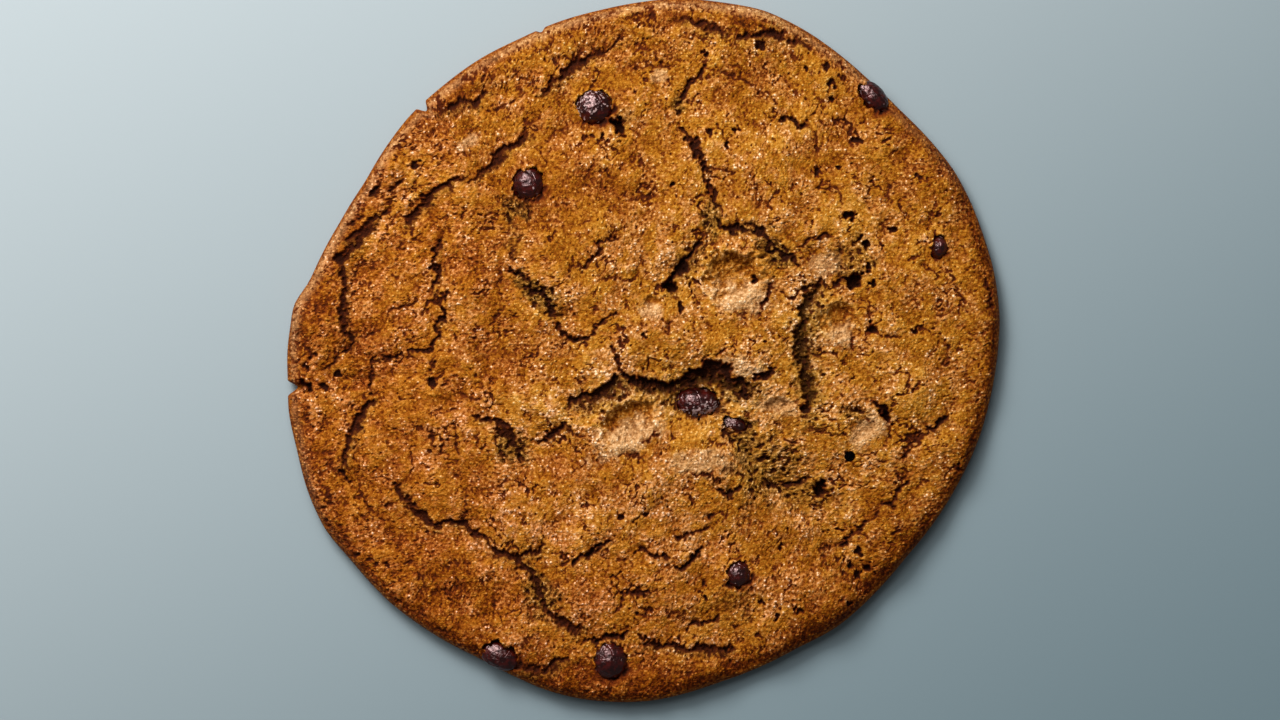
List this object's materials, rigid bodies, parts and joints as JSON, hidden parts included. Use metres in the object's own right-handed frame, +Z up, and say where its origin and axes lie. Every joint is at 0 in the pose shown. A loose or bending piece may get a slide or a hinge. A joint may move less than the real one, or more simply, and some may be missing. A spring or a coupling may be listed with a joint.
{
  "type": "chocolate chip cookie",
  "caption": "Large thin chocolate chip cookie, golden brown, its crust cracked all over, with dark chocolate chips set in the top.",
  "frame": {"origin": "middle of the outline's box, on the flat base", "axes": "+Z up out of the cracked top face, +X to the right of the picture, +Y to the top of the picture"},
  "size_m": [0.1097, 0.1084, 0.0081],
  "materials": {
    "baked_dough": "golden brown baked crust, dry and porous, with a slight sheen of fat and sugar",
    "chocolate": "dark chocolate, softly glossy"
  },
  "bodies": {
    "root": {"dough": "baked_dough", "chip_1": "chocolate", "chip_2": "chocolate", "chip_3": "chocolate", "chip_4": "chocolate", "chip_5": "chocolate", "chip_6": "chocolate", "chip_7": "chocolate", "chip_8": "chocolate", "chip_9": "chocolate"}
  },
  "joints": []
}
